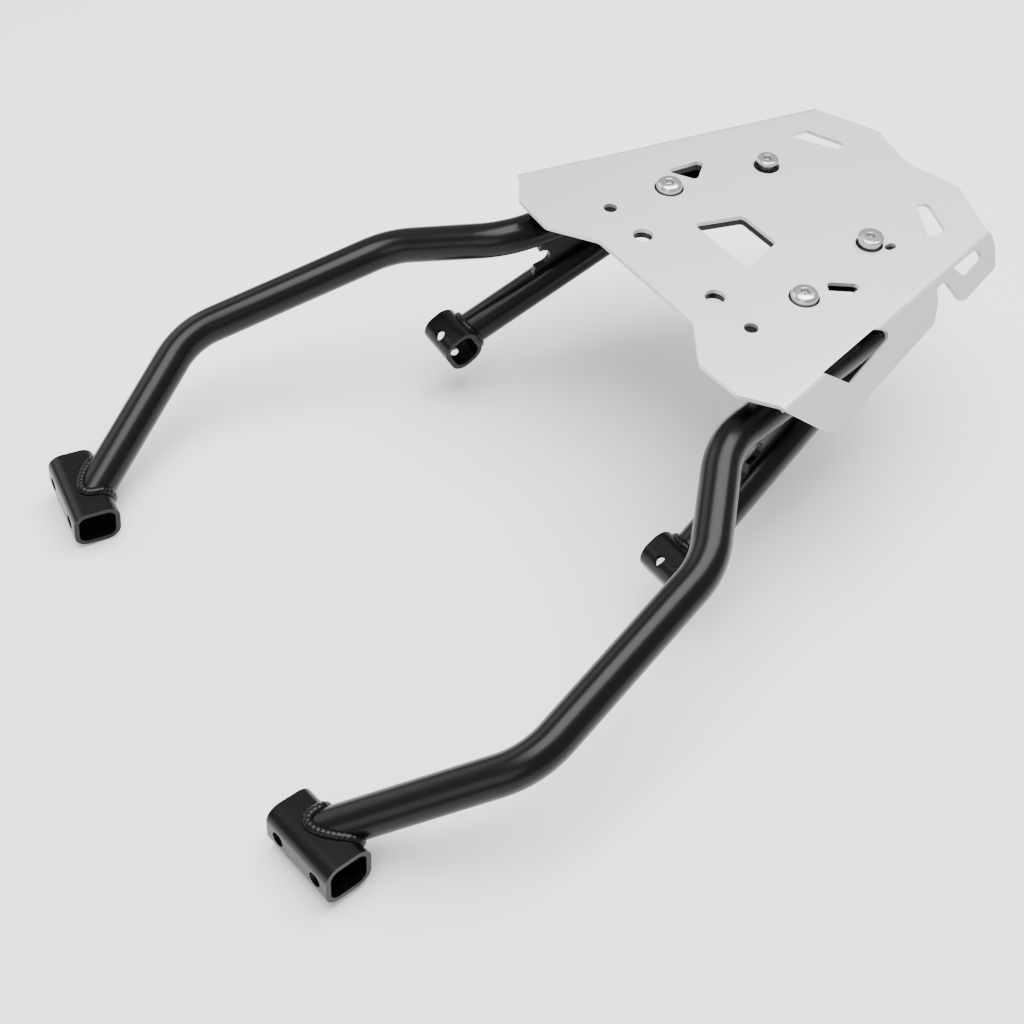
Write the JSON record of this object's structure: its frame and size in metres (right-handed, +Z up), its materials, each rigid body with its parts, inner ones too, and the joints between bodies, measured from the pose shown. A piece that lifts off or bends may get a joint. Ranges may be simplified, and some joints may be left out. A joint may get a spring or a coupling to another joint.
{
  "type": "motorcycle luggage rack",
  "caption": "Motorcycle rear luggage rack: folded aluminium platform screwed to a welded black tube frame with front sleeves and lower brackets.",
  "frame": {"origin": "middle of the four platform screws, on the platform's top face", "axes": "+X to the right of the motorcycle, +Y to its tail, +Z up out of the luggage face"},
  "size_m": [0.3874, 0.5414, 0.1516],
  "materials": {
    "anodised_aluminium": "fine blasted, clear anodised",
    "black_powder_coat": "satin black powder coat with a fine orange peel",
    "coated_weld": "rippled weld bead under satin black powder coat",
    "stainless_steel": "turned stainless steel, lightly polished",
    "black_oxide_steel": "black oxide steel nut"
  },
  "bodies": {
    "root": {"top_plate": "anodised_aluminium", "flush_stud_left": "anodised_aluminium", "flush_stud_right": "anodised_aluminium", "carrier_plate": "black_powder_coat", "upper_tube_left": "black_powder_coat", "upper_tube_right": "black_powder_coat", "lower_tube_left": "black_powder_coat", "lower_tube_right": "black_powder_coat", "web_left": "black_powder_coat", "web_right": "black_powder_coat", "front_sleeve_left": "black_powder_coat", "front_sleeve_right": "black_powder_coat", "lower_bracket_left": "black_powder_coat", "lower_bracket_right": "black_powder_coat", "tube_weld_left": "coated_weld", "tube_weld_right": "coated_weld", "sleeve_weld_left": "coated_weld", "sleeve_weld_right": "coated_weld", "bracket_weld_left": "coated_weld", "bracket_weld_right": "coated_weld", "screw_front_left": "stainless_steel", "screw_front_right": "stainless_steel", "screw_rear_left": "stainless_steel", "screw_rear_right": "stainless_steel", "nut_front_left": "black_oxide_steel", "nut_front_right": "black_oxide_steel", "nut_rear_left": "black_oxide_steel", "nut_rear_right": "black_oxide_steel"}
  },
  "joints": []
}
